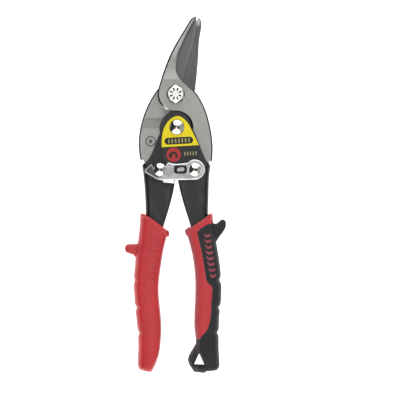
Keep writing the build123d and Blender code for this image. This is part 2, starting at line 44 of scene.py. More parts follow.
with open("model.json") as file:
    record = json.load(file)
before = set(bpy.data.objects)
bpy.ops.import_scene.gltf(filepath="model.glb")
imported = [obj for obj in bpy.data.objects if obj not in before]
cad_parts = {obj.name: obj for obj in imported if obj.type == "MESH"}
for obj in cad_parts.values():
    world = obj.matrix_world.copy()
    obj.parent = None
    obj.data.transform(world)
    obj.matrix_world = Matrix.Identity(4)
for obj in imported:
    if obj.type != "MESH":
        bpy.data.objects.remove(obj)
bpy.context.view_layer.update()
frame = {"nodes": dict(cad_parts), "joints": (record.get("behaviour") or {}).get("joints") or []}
NODES = frame["nodes"]
MM = 0.001

# ---- levels and pivots read from the frame ----
JOINT = {joint["name"]: Vector(joint["pos_m"]) for joint in frame["joints"]}
MID = JOINT["jaw_open"].z                       # height of the shear plane
PLATE_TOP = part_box("right_handle")[1].z         # front face of the right handle's plate
LABEL_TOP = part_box("label")[1].z
TAIL_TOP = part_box("lower_jaw")[1].z             # raised tail of the back jaw
BADGE_LOW, BADGE_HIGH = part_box("badge")
BADGE = (BADGE_LOW + BADGE_HIGH) / 2


# =====================================================================
# Small helpers
# =====================================================================
def curve_through(points, count):
    """Evenly spaced points on a smooth curve through the given ones."""
    given = np.array(points, float)
    padded = np.vstack([2 * given[0] - given[1], given, 2 * given[-1] - given[-2]])
    dense = []
    for i in range(1, len(padded) - 2):
        p0, p1, p2, p3 = padded[i - 1], padded[i], padded[i + 1], padded[i + 2]
        for t in np.linspace(0, 1, 24, endpoint=False):
            dense.append(
                0.5 * (2 * p1 + (p2 - p0) * t + (2 * p0 - 5 * p1 + 4 * p2 - p3) * t**2
                       + (3 * p1 - p0 - 3 * p2 + p3) * t**3)
            )
    dense.append(given[-1])
    dense = np.array(dense)
    along = np.concatenate([[0], np.cumsum(np.linalg.norm(np.diff(dense, axis=0), axis=1))])
    wanted = np.linspace(0, along[-1], count)
    return np.column_stack([np.interp(wanted, along, dense[:, k]) for k in range(dense.shape[1])])


def smooth_step(value, low, high):
    """0 below low, 1 above high, smooth between."""
    t = np.clip((value - low) / (high - low), 0, 1)
    return t * t * (3 - 2 * t)


def mesh_object(name, vertices, faces, smooth=True):
    """Object made from vertices in metres and faces."""
    mesh = bpy.data.meshes.new(name)
    mesh.from_pydata([tuple(v) for v in vertices], [], [tuple(f) for f in faces])
    mesh.update()
    tidy = bmesh.new()
    tidy.from_mesh(mesh)
    bmesh.ops.recalc_face_normals(tidy, faces=tidy.faces)
    tidy.to_mesh(mesh)
    tidy.free()
    for polygon in mesh.polygons:
        polygon.use_smooth = smooth
    piece = bpy.data.objects.new(name, mesh)
    bpy.context.scene.collection.objects.link(piece)
    return piece


def skin(name, layers, smooth=False):
    """Closed solid through layers, each a list of the same number of (x, y, z) points."""
    count = len(layers[0])
    vertices = [point for layer in layers for point in layer]
    faces = [tuple(range(count)), tuple(range(len(vertices) - count, len(vertices)))]
    for row in range(len(layers) - 1):
        for k in range(count):
            a, b = row * count + k, row * count + (k + 1) % count
            faces.append((a, b, b + count, a + count))
    return mesh_object(name, vertices, faces, smooth)


def prism(name, outline, low, high):
    """Upright prism on an outline of (x, y) in metres."""
    return skin(name, [[(x, y, level) for x, y in outline] for level in (low, high)])


def top_height(piece):
    """Function that gives the height of a piece's upper surface at (x, y) in metres."""
    mesh = piece.data
    tree = BVHTree.FromPolygons([v.co for v in mesh.vertices], [p.vertices for p in mesh.polygons])
    return lambda x, y: tree.ray_cast(Vector((x, y, 0.1)), Vector((0, 0, -1)))[0].z


def apply_modifier(piece, kind, **settings):
    """Add a modifier, set it and make it permanent."""
    modifier = piece.modifiers.new(kind.lower(), kind)
    for key, value in settings.items():
        setattr(modifier, key, value)
    bpy.context.view_layer.update()
    graph = bpy.context.evaluated_depsgraph_get()
    mesh = bpy.data.meshes.new_from_object(piece.evaluated_get(graph))
    piece.modifiers.clear()
    piece.data = mesh


def combine(piece, other, operation):
    """Boolean of two closed pieces; the second one is used up."""
    apply_modifier(piece, "BOOLEAN", operation=operation, object=other, solver="EXACT")
    bpy.data.objects.remove(other)


def points_of(piece):
    """Vertex positions of a piece as an array."""
    flat = np.empty(len(piece.data.vertices) * 3)
    piece.data.vertices.foreach_get("co", flat)
    return flat.reshape(-1, 3)


def set_points(piece, points):
    """Write vertex positions back."""
    piece.data.vertices.foreach_set("co", points.reshape(-1))
    piece.data.update()


def shade_smooth(piece, angle=None):
    """Smooth shading, with sharp edges above an angle in degrees."""
    for polygon in piece.data.polygons:
        polygon.use_smooth = True
    if angle is not None:
        piece.data.set_sharp_from_angle(angle=math.radians(angle))


def finish_piece(piece, material, body):
    """Material and body of one piece."""
    piece.data.materials.clear()
    piece.data.materials.append(material)
    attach(piece, body)
    return piece


# =====================================================================
# Materials
# =====================================================================
class Shader:
    """One Principled material and short ways to add nodes to it."""

    def __init__(self, name, **sockets):
        self.material = bpy.data.materials.new(name)
        self.material.use_nodes = True
        self.tree = self.material.node_tree
        self.surface = self.tree.nodes["Principled BSDF"]
        for key, value in sockets.items():
            self.surface.inputs[key.replace("_", " ")].default_value = value
        self.coordinates = self.tree.nodes.new("ShaderNodeTexCoord").outputs["Object"]

    def link(self, source, target):
        self.tree.links.new(source, target)

    def scaled(self, scale):
        """Object coordinates stretched by a scale for each axis."""
        node = self.tree.nodes.new("ShaderNodeMapping")
        node.inputs["Scale"].default_value = scale
        self.link(self.coordinates, node.inputs["Vector"])
        return node.outputs["Vector"]

    def noise(self, scale, detail=4.0, stretch=(1, 1, 1), rough=0.55):
        node = self.tree.nodes.new("ShaderNodeTexNoise")
        node.inputs["Scale"].default_value = scale
        node.inputs["Detail"].default_value = detail
        node.inputs["Roughness"].default_value = rough
        self.link(self.scaled(stretch), node.inputs["Vector"])
        return node.outputs["Fac"]

    def ranged(self, value, low, high, to_low, to_high):
        """Value mapped from one range to another, clamped."""
        node = self.tree.nodes.new("ShaderNodeMapRange")
        node.interpolation_type = "SMOOTHSTEP"
        node.inputs["From Min"].default_value = low
        node.inputs["From Max"].default_value = high
        node.inputs["To Min"].default_value = to_low
        node.inputs["To Max"].default_value = to_high
        self.link(value, node.inputs["Value"])
        return node.outputs["Result"]

    def sums(self, operation, first, second):
        node = self.tree.nodes.new("ShaderNodeMath")
        node.operation = operation
        for index, value in enumerate((first, second)):
            if isinstance(value, (int, float)):
                node.inputs[index].default_value = value
            else:
                self.link(value, node.inputs[index])
        return node.outputs["Value"]

    def mix(self, share, first, second):
        """Colour mix; colours are tuples or sockets."""
        node = self.tree.nodes.new("ShaderNodeMix")
        node.data_type = "RGBA"
        if isinstance(share, (int, float)):
            node.inputs[0].default_value = share
        else:
            self.link(share, node.inputs[0])
        for index, value in ((6, first), (7, second)):
            if isinstance(value, tuple):
                node.inputs[index].default_value = (*value, 1)
            else:
                self.link(value, node.inputs[index])
        return node.outputs[2]

    def axis_of(self, source, axis):
        node = self.tree.nodes.new("ShaderNodeSeparateXYZ")
        self.link(source, node.inputs[0])
        return node.outputs[axis]

    def facing(self, axis):
        """One part of the normal in the piece's own frame."""
        node = self.tree.nodes.new("ShaderNodeTexCoord")
        return self.axis_of(node.outputs["Normal"], axis)

    def up(self):
        """Size of the normal's vertical part."""
        return self.sums("ABSOLUTE", self.facing("Z"), 0.0)

    def bump(self, height, distance, strength=1.0):
        node = self.tree.nodes.new("ShaderNodeBump")
        node.inputs["Strength"].default_value = strength
        node.inputs["Distance"].default_value = distance
        self.link(height, node.inputs["Height"])
        previous = self.surface.inputs["Normal"].links
        if previous:
            self.link(previous[0].from_socket, node.inputs["Normal"])
        self.link(node.outputs["Normal"], self.surface.inputs["Normal"])

    def colour(self, socket):
        self.link(socket, self.surface.inputs["Base Color"])

    def roughness(self, socket):
        self.link(socket, self.surface.inputs["Roughness"])


def jaw_steel(side):
    """Ground and satin chromed jaw: pale faces, dark forged edges, a darker thin blade, and painted
    highlights and shade on spine, edges and tail.
    """
    look = Shader("jaw_steel_front" if side > 0 else "jaw_steel_back", Metallic=1.0)
    place = look.coordinates
    aside = look.axis_of(place, "X")
    along = look.axis_of(place, "Y")
    height = look.axis_of(place, "Z")
    cloud = look.noise(70, 4)
    peen = look.noise(650, 3)
    grain = look.noise(900, 2, (1.0, 0.06, 1.0))
    cross = look.noise(1500, 2, (0.06, 1.0, 1.0))
    spine = look.ranged(along, 0.0802, 0.0806, 0, 1)
    face = look.mix(look.ranged(cloud, 0.3, 0.7, 0, 1), (0.400, 0.402, 0.380), (0.460, 0.462, 0.438))
    face = look.mix(look.ranged(peen, 0.4, 0.7, 0, 0.35), face, (0.360, 0.360, 0.348))
    ground = look.mix(look.ranged(cross, 0.35, 0.65, 0, 1), (0.300, 0.298, 0.288), (0.420, 0.417, 0.400))
    # Painted highlight: the spine's ground face is painted lighter at its start and again past its middle,
    # with a darker band between.
    near_spine_highlight = look.sums("MULTIPLY", look.ranged(along, 0.083, 0.090, 1, 0), 0.75)
    far_spine_highlight = look.sums("MULTIPLY", look.ranged(along, 0.092, 0.100, 0, 1), 0.55)
    ground = look.mix(look.sums("ADD", near_spine_highlight, far_spine_highlight), ground, (0.53, 0.528, 0.51))
    # Painted shade: the spine runs down to the blade in a hollow, painted darker inwards and towards the
    # tip.
    past = look.sums("SUBTRACT", along, 0.094)
    bow = look.sums("MULTIPLY", look.sums("MULTIPLY", past, past), 5.0)
    inner = look.sums("ADD", look.sums("ADD", look.sums("MULTIPLY", past, 0.33), bow), 0.0004)
    inward = look.ranged(look.sums("SUBTRACT", aside, inner), -0.0017, -0.0001, 0, 1)
    hollow_shade = look.sums("MULTIPLY", inward, look.ranged(along, 0.090, 0.099, 0, 1))
    deep = look.mix(look.ranged(along, 0.104, 0.116, 0, 1), (0.14, 0.14, 0.14), (0.085, 0.085, 0.087))
    if side > 0:
        ground = look.mix(hollow_shade, ground, deep)
    face = look.mix(spine, face, ground)
    # Shadowed rim of the boss above the thin blade.
    rim = look.sums("ADD", look.sums("MULTIPLY", aside, 0.669), look.sums("MULTIPLY", along, 0.743))
    rim = look.ranged(rim, 0.06102, 0.06167, 0, 1)
    rim = look.sums("MULTIPLY", rim, look.ranged(aside, 0.002, 0.005, 0, 0.75))
    rim = look.sums("MULTIPLY", rim, look.ranged(along, 0.0795, 0.0815, 1, 0))
    face = look.mix(rim, face, (0.075, 0.075, 0.078))
    # Painted shade: the sloping shoulder of the tail is painted darker, as it tilts away from the light.
    shoulder_shade = look.sums(
        "MULTIPLY", look.ranged(look.up(), 0.90, 0.96, 1, 0), look.ranged(along, 0.055, 0.057, 1, 0)
    )
    face = look.mix(shoulder_shade, face, (0.165, 0.166, 0.160))
    # The thin blade, at the shear plane, is darker than the ground faces.
    beyond = look.ranged(along, 0.0730, 0.0735, 0, 1)
    depth = look.sums("ABSOLUTE", look.sums("SUBTRACT", height, MID), 0.0)
    low = look.ranged(depth, 0.0024, 0.0028, 1, 0)
    blade = look.sums("MULTIPLY", beyond, low)
    # Edges and flanks keep the dark skin of the forging, painted darker as shade too; chamfers that face -Y
    # get a painted highlight instead.
    edge = look.ranged(look.up(), 0.74, 0.82, 1, 0)
    bright = look.ranged(look.facing("Y"), -0.60, -0.42, 1, 0)
    face = look.mix(edge, face, look.mix(bright, (0.030, 0.030, 0.031), (0.98, 0.98, 0.96)))
    web_colour = (0.165, 0.166, 0.170) if side > 0 else (0.135, 0.135, 0.135)
    web = look.mix(look.ranged(grain, 0.35, 0.65, 0, 0.5), web_colour, (0.200, 0.201, 0.206))
    # Only the cutting side of the front blade is ground, and its flank is painted lighter as a highlight;
    # other flanks are painted dark as forging skin and shade.
    cutting = look.ranged(look.facing("X"), -0.1, 0.2, 0, 1 if side > 0 else 0)
    web = look.mix(edge, web, look.mix(cutting, (0.035, 0.035, 0.036), (0.20, 0.20, 0.21)))
    if side < 0:
        # The tip of the back blade is ground bright.
        tip = look.sums(
            "MULTIPLY", look.ranged(along, 0.1165, 0.1205, 0, 1), look.ranged(aside, 0.0165, 0.0172, 1, 0)
        )
        web = look.mix(tip, web, (0.55, 0.55, 0.55))
    look.colour(look.mix(blade, face, web))
    look.roughness(look.ranged(cloud, 0.3, 0.7, 0.40, 0.50))
    look.bump(peen, 0.00004, 0.2)
    look.bump(look.sums("MULTIPLY", cross, spine), 0.00002, 0.3)
    return look.material


def plated(name, colour, rough, wear=0.35):
    """Bright plating with faint smears and tiny pits."""
    look = Shader(name, Metallic=1.0)
    smear = look.noise(260, 5)
    look.colour(look.mix(look.ranged(smear, 0.35, 0.75, 0, wear), colour, tuple(0.8 * c for c in colour)))
    look.roughness(look.ranged(smear, 0.3, 0.75, rough, rough + 0.10))
    look.bump(look.noise(1800, 2), 0.000012, 0.25)
    return look.material


def distance_from(look, away, aside):
    """Distance of a surface point from an upright axis, from its two offsets."""
    squares = look.sums("ADD", look.sums("MULTIPLY", away, away), look.sums("MULTIPLY", aside, aside))
    return look.sums("SQRT", squares, 0.0)


def nut_chrome():
    """Bright nut with painted shade in its key slots."""
    look = Shader("nut_chrome", Metallic=1.0)
    smear = look.noise(320, 5)
    colour = look.mix(look.ranged(smear, 0.4, 0.8, 0, 0.5), (0.95, 0.95, 0.93), (0.80, 0.80, 0.78))
    slot_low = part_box("pivot_nut")[1].z - 0.0003
    deep = look.ranged(look.axis_of(look.coordinates, "Z"), slot_low - 0.0002, slot_low, 1, 0)
    away = look.sums("SUBTRACT", look.axis_of(look.coordinates, "Y"), JOINT["jaw_open"].y)
    aside = look.axis_of(look.coordinates, "X")
    reach = distance_from(look, away, aside)
    inside = look.ranged(reach, 0.0046, 0.0048, 1, 0)
    # Painted shade in the key slots.
    slot_shade = look.sums("MULTIPLY", deep, inside)
    look.colour(look.mix(slot_shade, colour, (0.035, 0.033, 0.030)))
    look.roughness(look.ranged(smear, 0.3, 0.75, 0.16, 0.26))
    look.bump(look.noise(1800, 2), 0.000012, 0.25)
    return look.material


def rivet_chrome(node):
    """Polished domed head, darker and browner in its dimple."""
    low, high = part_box(node)
    look = Shader(f"{node}_chrome", Metallic=1.0)
    place = look.coordinates
    smear = look.noise(500, 5)
    away = look.sums("SUBTRACT", look.axis_of(place, "Y"), (low.y + high.y) / 2)
    aside = look.sums("SUBTRACT", look.axis_of(place, "X"), (low.x + high.x) / 2)
    reach = distance_from(look, away, aside)
    dimple_darkening = look.sums(
        "MULTIPLY", look.ranged(reach, 0.0009, 0.0019, 1, 0), look.ranged(smear, 0.35, 0.6, 0.35, 1)
    )
    bright = look.mix(look.ranged(smear, 0.4, 0.8, 0, 0.3), (0.93, 0.92, 0.89), (0.74, 0.72, 0.68))
    look.colour(look.mix(dimple_darkening, bright, (0.10, 0.08, 0.055)))
    look.roughness(look.ranged(smear, 0.3, 0.75, 0.07, 0.16))
    look.bump(look.noise(1800, 2), 0.00001, 0.2)
    return look.material


def latch_chrome():
    """Plated latch: polished border, satin pressed face, a darker hook end and a pocket painted dark as
    shade.
    """
    look = Shader("latch_chrome", Metallic=1.0)
    place = look.coordinates
    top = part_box("left_bush")[1].z + 0.00015 + 0.0013
    height = look.axis_of(place, "Z")
    dished = look.ranged(height, top - 0.00022, top - 0.00012, 1, 0)
    pocket = look.ranged(height, top - 0.00062, top - 0.00052, 1, 0)
    smear = look.noise(240, 5)
    satin = look.mix(look.ranged(smear, 0.3, 0.75, 0, 1), (0.50, 0.50, 0.51), (0.38, 0.38, 0.39))
    hook = look.ranged(look.axis_of(place, "X"), -0.0150, -0.0085, 1, 0)
    satin = look.mix(hook, satin, (0.105, 0.105, 0.112))
    # Painted shade in the pocket.
    satin = look.mix(pocket, satin, (0.030, 0.030, 0.033))
    border = look.mix(hook, (0.88, 0.88, 0.88), (0.42, 0.42, 0.43))
    look.colour(look.mix(dished, border, satin))
    look.roughness(look.ranged(smear, 0.3, 0.75, 0.20, 0.34))
    look.bump(look.noise(1500, 2), 0.00002, 0.25)
    return look.material


def dark_steel():
    """Blackened spring steel."""
    look = Shader("dark_steel", Metallic=1.0)
    smear = look.noise(500, 3)
    look.colour(look.mix(look.ranged(smear, 0.3, 0.7, 0, 1), (0.035, 0.035, 0.038), (0.08, 0.08, 0.085)))
    look.roughness(look.ranged(smear, 0.3, 0.7, 0.32, 0.5))
    look.bump(smear, 0.00003, 0.3)
    return look.material


def black_paint(side):
    """Baked black paint on sheet steel: orange peel, painted shade on the bends and a painted shade line
    along the inner edge. side is +1 on the right.
    """
    name = "black_paint_right" if side > 0 else "black_paint_left"
    look = Shader(name, Coat_Weight=0.15, Coat_Roughness=0.25, Specular_IOR_Level=0.35)
    peel = look.noise(1400, 2)
    scuff = look.noise(120, 6, (1, 0.35, 1))
    base = look.mix(look.ranged(scuff, 0.45, 0.8, 0, 1), (0.020, 0.020, 0.022), (0.048, 0.049, 0.051))
    # Painted shade: faces that turn away from straight up, on the bends, are painted darker.
    bend_shade = look.ranged(look.up(), 0.90, 0.995, 1, 0)
    base = look.mix(bend_shade, base, (0.006, 0.006, 0.007))
    # A dark line of painted shade runs along the inner edge of the plate.
    down = look.sums("SUBTRACT", 0.0083, look.axis_of(look.coordinates, "Y"))
    start, slope, bow = (0.0018, 0.255, 0.6) if side > 0 else (0.0007, 0.210, 1.4)
    line = look.sums(
        "ADD",
        look.sums("MULTIPLY", down, slope),
        look.sums("MULTIPLY", look.sums("MULTIPLY", down, down), bow),
    )
    reach = look.sums("MULTIPLY", look.axis_of(look.coordinates, "X"), side)
    gap = look.sums("SUBTRACT", look.sums("SUBTRACT", reach, start), line)
    rim = look.sums(
        "MULTIPLY", look.ranged(gap, 0.0008, 0.0016, 0.85, 0), look.ranged(down, 0.0, 0.001, 0, 1)
    )
    base = look.mix(rim, base, (0.004, 0.004, 0.004))
    look.colour(base)
    look.roughness(look.ranged(scuff, 0.3, 0.8, 0.36, 0.52))
    look.bump(peel, 0.00004, 0.35)
    return look.material


def moulded(name, colour, deep, rough, texture, coat, sheen=None):
    """Moulded grip plastic: fine spark texture, slight colour drift, and a paler painted sheen on slopes
    facing -X if asked for.
    """
    look = Shader(name, Coat_Weight=coat, Coat_Roughness=0.3)
    drift = look.noise(45, 4)
    spark = look.noise(2400, 3)
    tint = look.mix(look.ranged(drift, 0.3, 0.7, 0, 1), colour, deep)
    if sheen:
        # Painted sheen: slopes tilted towards -X are painted paler.
        inward = look.ranged(look.facing("X"), -0.45, -0.20, 1, 0)
        sheen_mask = look.sums("MULTIPLY", inward, look.ranged(look.facing("X"), -0.98, -0.85, 0, 0.8))
        tint = look.mix(sheen_mask, tint, sheen)
    look.colour(tint)
    look.roughness(look.ranged(drift, 0.3, 0.75, rough, rough + 0.12))
    look.bump(spark, texture, 0.4)
    look.bump(drift, 0.0002, 0.12)
    return look.material


def printed(name, colour, second, rough=0.3):
    """Printed film: even ink with faint mottling under a thin varnish."""
    look = Shader(name, Coat_Weight=0.1, Coat_Roughness=0.15, Specular_IOR_Level=0.3)
    mottle = look.noise(700, 4)
    look.colour(look.mix(look.ranged(mottle, 0.35, 0.75, 0, 1), colour, second))
    look.roughness(look.ranged(mottle, 0.3, 0.7, rough, rough + 0.12))
    look.bump(look.noise(300, 2), 0.00003, 0.2)
    return look.material


def floor_paper():
    """Plain pale studio sweep, lit through from below."""
    look = Shader("floor_paper", Roughness=0.95, Emission_Color=(1, 1, 1, 1), Emission_Strength=0.9)
    fibre = look.noise(60, 3)
    look.colour(look.mix(look.ranged(fibre, 0.3, 0.7, 0, 1), (0.93, 0.93, 0.93), (0.95, 0.95, 0.95)))
    return look.material


STEEL_FRONT, STEEL_BACK = jaw_steel(1), jaw_steel(-1)
NUT_CHROME = nut_chrome()
BOLT_CHROME = plated("bolt_chrome", (0.85, 0.85, 0.84), 0.22)
# Cast ring and stud: painted dark all over, as the shade round their raised walls.
CAST_MARK_SHADE = plated("cast_mark_shade", (0.125, 0.125, 0.122), 0.45)
LATCH_CHROME = latch_chrome()
DARK_STEEL = dark_steel()
PAINT_LEFT, PAINT_RIGHT = black_paint(-1), black_paint(1)
RED_PLASTIC = moulded("red_plastic", (0.56, 0.030, 0.036), (0.50, 0.024, 0.030), 0.38, 0.00005, 0.15)
# Red plastic with a paler painted sheen on its inner slopes.
RED_SHEEN = moulded(
    "red_sheen", (0.56, 0.030, 0.036), (0.50, 0.024, 0.030), 0.38, 0.00005, 0.15, (0.42, 0.105, 0.120)
)
# Black rubber with a paler painted sheen on its inner slopes.
BLACK_RUBBER = moulded(
    "black_rubber", (0.017, 0.0165, 0.019), (0.024, 0.023, 0.026), 0.55, 0.00008, 0.0, (0.085, 0.085, 0.088)
)
BLACK_RUBBER.node_tree.nodes["Principled BSDF"].inputs["Specular IOR Level"].default_value = 0.3
YELLOW_INK = printed("yellow_ink", (0.84, 0.69, 0.010), (0.78, 0.62, 0.008))
BLACK_INK = printed("black_ink", (0.016, 0.016, 0.014), (0.030, 0.028, 0.020))
RED_INK = printed("red_ink", (0.46, 0.035, 0.040), (0.40, 0.028, 0.032))
PALE_INK = printed("pale_ink", (0.34, 0.32, 0.13), (0.26, 0.25, 0.10))
RED_MARK = printed("red_mark", (0.30, 0.060, 0.080), (0.24, 0.045, 0.060), 0.45)


# =====================================================================
# CAD nodes that stay, with their finish
# =====================================================================
def dress(material, *nodes):
    """Give CAD nodes their finish."""
    for node in nodes:
        NODES[node].data.materials.clear()
        NODES[node].data.materials.append(material)


dress(STEEL_FRONT, "upper_jaw")
dress(STEEL_BACK, "lower_jaw")
dress(NUT_CHROME, "pivot_nut")
dress(BOLT_CHROME, "pivot_bolt")
dress(DARK_STEEL, "pivot_washer", "centre_spacer")
dress(PAINT_LEFT, "left_handle")
dress(PAINT_RIGHT, "right_handle")
dress(BOLT_CHROME, "latch_washer", "left_bush")
for rivet in ("centre_rivet", "left_rivet", "right_rivet"):
    dress(rivet_chrome(rivet), rivet)
dress(LATCH_CHROME, "latch")
dress(YELLOW_INK, "label")
dress(RED_INK, "badge")


# =====================================================================
# Grips
# =====================================================================
RING_FLAT, RING_CORNER = 14, 12


def grip_ring(half, outer_corner, inner_corner, crown):
    """Section of a grip: (share of the width, height) round one closed ring."""
    outer_u, outer_z = outer_corner
    inner_u, inner_z = inner_corner
    flat = np.linspace(outer_u, 1 - inner_u, RING_FLAT)
    turn = np.linspace(0, math.pi / 2, RING_CORNER)[1:-1]
    u = np.concatenate([
        outer_u * (1 - np.cos(turn)), flat, 1 - inner_u * (1 - np.cos(turn[::-1])),
    ])
    z = np.concatenate([
        half - outer_z * (1 - np.sin(turn)),
        half + crown * (1 - ((2 * flat - outer_u - 1 + inner_u) / (1 - outer_u - inner_u)) ** 2),
        half - inner_z * (1 - np.sin(turn[::-1])),
    ])
    return u, z


def grip_body(name, outer, inner, half_of, outer_corner, inner_corner, stations=230, crown=0.35):
    """Closed grip body between an outer and an inner line, both from top to bottom, in millimetres."""
    outer_line = curve_through(outer, stations)
    inner_line = curve_through(inner, stations)
    vertices, faces = [], []
    for index in range(stations):
        share = index / (stations - 1)
        start, end = outer_line[index], inner_line[index]
        width = np.linalg.norm(end - start)
        half = half_of(share)
        u, z = grip_ring(
            half - crown,
            (outer_corner[0] / width, outer_corner[1]),
            (inner_corner[0] / width, inner_corner[1]),
            crown,
        )
        across = start + np.outer(np.concatenate([u, u[::-1]]), end - start)
        heights = np.concatenate([z, -z[::-1]])
        vertices += [(x * MM, y * MM, MID + h * MM) for (x, y), h in zip(across, heights)]
    ring = len(vertices) // stations
    for row in range(stations - 1):
        for k in range(ring):
            a, b = row * ring + k, row * ring + (k + 1) % ring
            faces.append((a, b, b + ring, a + ring))
    faces.append(tuple(range(ring)))
    faces.append(tuple(range((stations - 1) * ring, stations * ring)))
    return mesh_object(name, vertices, faces)


def rounded_lug(name, outline, half, edge):
    """Thumb lug: a slab on an outline in millimetres with rounded long edges."""
    centre = np.mean(outline, axis=0)
    layers = []
    for angle in np.linspace(-90, 90, 13):
        inset = edge * (1 - math.cos(math.radians(angle)))
        height = (half - edge) * np.sign(angle) + edge * math.sin(math.radians(angle)) if angle else 0.0
        shift = []
        for point in outline:
            inward = centre - point
            shift.append(point + inward / np.linalg.norm(inward) * inset)
        layers.append((np.array(shift), height))
    return skin(name, [[(x * MM, y * MM, MID + h * MM) for x, y in points] for points, h in layers], True)


def melt(piece, voxel, rounds):
    """Fuse overlapping closed shells into one skin and soften its creases, as a mould does."""
    apply_modifier(piece, "REMESH", mode="VOXEL", voxel_size=voxel * MM, adaptivity=0.0)
    apply_modifier(piece, "SMOOTH", factor=0.5, iterations=rounds)
    # Smoothing draws the outline in, so the sides are moved out again.
    outward = np.empty(len(piece.data.vertices) * 3)
    piece.data.vertices.foreach_get("normal", outward)
    outward = outward.reshape(-1, 3)
    outward[:, 2] = 0
    set_points(piece, points_of(piece) + outward * REGAIN * MM)
    shade_smooth(piece)


def join(piece, others):
    """Put several meshes into one object."""
    whole = bmesh.new()
    for each in (piece, *others):
        whole.from_mesh(each.data)
    whole.to_mesh(piece.data)
    whole.free()
    for each in others:
        bpy.data.objects.remove(each)


VOXEL, REGAIN = 0.45, 0.28

LEFT_OUTER = [
    (-24.6, -13.4), (-24.8, -20.0), (-25.4, -27.0), (-26.3, -34.0), (-27.5, -41.0), (-28.0, -46.0),
    (-28.4, -52.0), (-29.0, -57.0), (-28.5, -60.3), (-29.2, -63.0), (-28.8, -70.0), (-28.3, -76.3),
    (-27.1, -79.0), (-27.9, -81.6), (-27.4, -86.0), (-26.5, -93.8), (-25.3, -96.8), (-26.1, -99.5),
    (-26.0, -106.0), (-26.3, -115.0), (-26.3, -119.0), (-25.4, -122.3),
]
LEFT_INNER = [
    (-5.6, -26.2), (-6.6, -29.4), (-8.0, -35.0), (-9.2, -40.5), (-10.7, -50.0), (-12.0, -60.0),
    (-12.3, -68.0), (-11.6, -77.0), (-10.7, -86.0), (-10.4, -95.0), (-10.9, -104.0), (-12.0, -112.0),
    (-14.0, -118.0), (-17.0, -124.0),
]
LEFT_LUG = [
    (-22.5, -32.0), (-26.6, -34.9), (-33.8, -35.1), (-35.0, -36.0), (-35.5, -38.2), (-34.7, -40.3),
    (-28.8, -42.4), (-27.4, -45.0), (-22.5, -48.0),
]
RIGHT_OUTER = [
    (25.4, -13.2), (25.9, -19.5), (26.8, -27.0), (28.1, -34.0), (29.2, -40.0), (30.1, -46.0),
    (30.9, -52.0), (31.2, -57.0), (30.3, -60.0), (31.6, -63.2), (31.6, -70.0), (31.2, -76.2),
    (29.7, -79.0), (30.5, -81.6), (30.1, -86.0), (29.8, -94.0), (28.5, -96.6), (29.7, -99.2),
    (29.8, -108.0), (30.3, -116.0), (30.2, -120.3), (28.6, -122.9),
]
RIGHT_INNER = [
    (7.0, -25.9), (8.4, -29.5), (10.1, -35.0), (12.0, -43.0), (13.3, -52.0), (13.9, -61.0),
    (13.8, -72.0), (13.3, -83.0), (13.2, -93.0), (14.0, -99.5), (14.4, -104.6), (13.8, -109.0),
    (13.3, -116.0), (13.1, -123.6),
]
RIGHT_LUG = [
    (23.0, -17.5), (26.4, -20.6), (28.4, -20.9), (31.8, -18.1), (33.6, -17.6), (34.9, -19.4),
    (35.0, -22.4), (33.0, -26.2), (29.8, -30.2), (28.1, -33.0), (23.0, -38.0),
]


CORE_INSET = 1.4                                # the cover wraps the outer side of the core
CORE_OUTER = RIGHT_OUTER[:2] + [(x - CORE_INSET, y) for x, y in RIGHT_OUTER[2:]]


def grip_half(share):
    """Half thickness along a grip, in millimetres: full in the palm, thinner at both ends."""
    end = max(0.0, (share - 0.975) / 0.025)
    start = max(0.0, (0.012 - share) / 0.012)
    swell = 10.5 + 0.5 * math.sin(math.pi * min(1.0, share * 1.15)) ** 2
    return swell - 2.2 * end**2 - 0.8 * start**2


def rim_and_lip(line, height, name):
    """Thick rim round the mouth of a grip, along a line of (x, y) in millimetres."""
    centres = curve_through(line, 60)
    vertices, faces, around = [], [], 14
    for index, (x, y) in enumerate(centres):
        ahead = centres[min(index + 1, 59)] - centres[max(index - 1, 0)]
        side = np.array([-ahead[1], ahead[0]]) / np.linalg.norm(ahead)
        for k in range(around):
            angle = 2 * math.pi * k / around
            reach = side * 1.15 * math.cos(angle)
            lift = height * (abs(math.sin(angle)) ** 0.35) * (1 if math.sin(angle) >= 0 else -1)
            vertices.append(((x + reach[0]) * MM, (y + reach[1]) * MM, MID + lift * MM))
    for row in range(59):
        for k in range(around):
            a, b = row * around + k, row * around + (k + 1) % around
            faces.append((a, b, b + around, a + around))
    faces += [tuple(range(around)), tuple(range(59 * around, 60 * around))]
    return mesh_object(name, vertices, faces)


def left_grip():
    """Red left grip with its thumb lug, mouth rim and lip."""
    grip = grip_body("left_grip_shell", LEFT_OUTER, LEFT_INNER, grip_half, (6.0, 7.0), (3.2, 5.5))
    lug = rounded_lug("left_lug", np.array(LEFT_LUG), 6.5, 2.2)
    rim = rim_and_lip([(-23.9, -14.6), (-19.0, -17.0), (-12.0, -22.0), (-6.2, -27.2)], 10.6, "left_rim")
    lip_outline = np.array([(-9.5, -23.8), (-5.2, -25.8), (-4.7, -27.0), (-4.9, -29.2), (-10.5, -30.0)])
    lip = rounded_lug("left_lip", lip_outline, 9.0, 1.0)
    join(grip, [lug, rim, lip])
    melt(grip, VOXEL, 4)
    finish_piece(grip, RED_PLASTIC, "left_handle")
    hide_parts("left_grip")
    return grip


